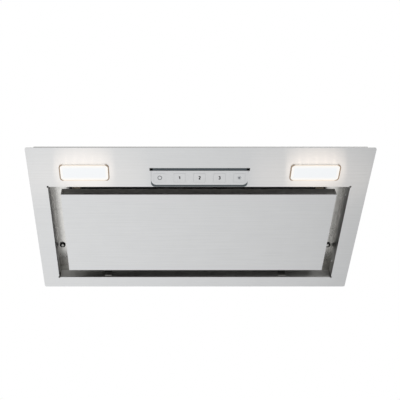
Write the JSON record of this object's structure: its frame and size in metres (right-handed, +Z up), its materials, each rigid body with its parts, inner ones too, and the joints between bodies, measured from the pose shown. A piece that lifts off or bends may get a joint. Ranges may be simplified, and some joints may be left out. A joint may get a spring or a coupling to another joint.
{
  "type": "built-in range hood",
  "caption": "Built-in range hood: brushed steel face plate with lamps, push-key control and a drop-down suction panel, over a filter, blower tower and duct collar with back-draught flaps.",
  "frame": {"origin": "centre of the face plate's outline, on the underside of the cabinet board that the rim seal presses on", "axes": "+Z up along the duct, +X to the cook's right, front towards -Y"},
  "size_m": [0.52, 0.285, 0.2133],
  "materials": {
    "brushed_stainless": "long fine brushing along the width, satin",
    "galvanised_steel": "dull zinc sheet with a faint spangle",
    "plated_fasteners": "bright zinc plating",
    "spring_steel": "dark hardened strip",
    "filter_aluminium": "rolled mesh, satin",
    "silver_plastic": "silver lacquer over moulded plastic",
    "dark_base_plastic": "blue grey, glossy",
    "bezel_plastic": "smoked brown grey, glossy",
    "opal_lens": "milky diffuser, lit from behind",
    "white_plastic": "moulded, satin",
    "black_plastic": "moulded, fine grain",
    "grey_plastic": "moulded, fine grain",
    "circuit_board": "solder mask",
    "black_rubber": "soft, matt",
    "damping_felt": "bitumen mat, matt",
    "magnet_ferrite": "sintered, matt",
    "motor_steel": "grey paint, satin",
    "capacitor_case": "drawn can, plain"
  },
  "bodies": {
    "hood": {"blower_motor": "motor_steel", "blower_tower": "galvanised_steel", "cabinet_clips": "spring_steel", "cable_gland": "black_plastic", "capacitor": "capacitor_case", "capacitor_clip": "spring_steel", "casing_screws": "plated_fasteners", "casing_side_left": "galvanised_steel", "casing_side_right": "galvanised_steel", "casing_wrapper": "galvanised_steel", "catch_magnets": "magnet_ferrite", "collar_screws": "plated_fasteners", "control_base": "dark_base_plastic", "control_board": "circuit_board", "control_cover": "black_plastic", "control_face": "silver_plastic", "deck_screws": "plated_fasteners", "deck_washers": "black_rubber", "electronics_box": "black_plastic", "electronics_lid": "black_plastic", "exhaust_collar": "grey_plastic", "face_plate": "brushed_stainless", "filter_deck": "galvanised_steel", "filter_frame": "filter_aluminium", "filter_mesh": "filter_aluminium", "flap_pins": "plated_fasteners", "hinge_pins": "plated_fasteners", "hinge_straps": "galvanised_steel", "lamp_bezel_left": "bezel_plastic", "lamp_bezel_right": "bezel_plastic", "lamp_board_left": "circuit_board", "lamp_board_right": "circuit_board", "lamp_housing_left": "white_plastic", "lamp_housing_right": "white_plastic", "lamp_lens_left": "opal_lens", "lamp_lens_right": "opal_lens", "lamp_straps": "galvanised_steel", "motor_bracket": "galvanised_steel", "motor_grommets": "black_rubber", "power_board": "circuit_board", "rim_seal": "black_rubber", "scroll_side_left": "galvanised_steel", "scroll_side_right": "galvanised_steel", "scroll_wrap": "galvanised_steel", "tower_roof": "galvanised_steel"},
    "panel": {"suction_panel": "brushed_stainless", "panel_mat": "damping_felt", "hinge_lugs": "galvanised_steel", "strike_plates": "galvanised_steel"},
    "impeller": {"impeller_wheel": "black_plastic", "motor_shaft": "plated_fasteners"},
    "flap_front": {"draught_flap_front": "grey_plastic"},
    "flap_rear": {"draught_flap_rear": "grey_plastic"},
    "latch": {"filter_latch": "black_plastic"},
    "key_power_body": {"key_power": "silver_plastic"},
    "key_speed_1_body": {"key_speed_1": "silver_plastic"},
    "key_speed_2_body": {"key_speed_2": "silver_plastic"},
    "key_speed_3_body": {"key_speed_3": "silver_plastic"},
    "key_light_body": {"key_light": "silver_plastic"}
  },
  "joints": [
    {"name": "panel_hinge", "type": "hinge", "parent": "hood", "child": "panel", "pos_m": [0, 0.098, 0.01], "axis": [1, 0, 0], "range_deg": [0, 90]},
    {"name": "impeller_spin", "type": "hinge", "parent": "hood", "child": "impeller", "pos_m": [0, 0.036, 0.115], "axis": [1, 0, 0], "continuous": true},
    {"name": "flap_front_hinge", "type": "hinge", "parent": "hood", "child": "flap_front", "pos_m": [0, 0.045, 0.18015], "axis": [-1, 0, 0], "range_deg": [0, 80]},
    {"name": "flap_rear_hinge", "type": "hinge", "parent": "hood", "child": "flap_rear", "pos_m": [0, 0.052, 0.18015], "axis": [1, 0, 0], "range_deg": [0, 80]},
    {"name": "latch_slide", "type": "slide", "parent": "hood", "child": "latch", "axis": [0, 1, 0], "range_m": [0, 0.006], "stiffness_N_per_m": 150},
    {"name": "key_power_press", "type": "slide", "parent": "hood", "child": "key_power_body", "axis": [0, 0.2588, 0.9659], "range_m": [0, 0.0008], "stiffness_N_per_m": 400},
    {"name": "key_speed_1_press", "type": "slide", "parent": "hood", "child": "key_speed_1_body", "axis": [0, 0.2588, 0.9659], "range_m": [0, 0.0008], "stiffness_N_per_m": 400},
    {"name": "key_speed_2_press", "type": "slide", "parent": "hood", "child": "key_speed_2_body", "axis": [0, 0.2588, 0.9659], "range_m": [0, 0.0008], "stiffness_N_per_m": 400},
    {"name": "key_speed_3_press", "type": "slide", "parent": "hood", "child": "key_speed_3_body", "axis": [0, 0.2588, 0.9659], "range_m": [0, 0.0008], "stiffness_N_per_m": 400},
    {"name": "key_light_press", "type": "slide", "parent": "hood", "child": "key_light_body", "axis": [0, 0.2588, 0.9659], "range_m": [0, 0.0008], "stiffness_N_per_m": 400}
  ]
}
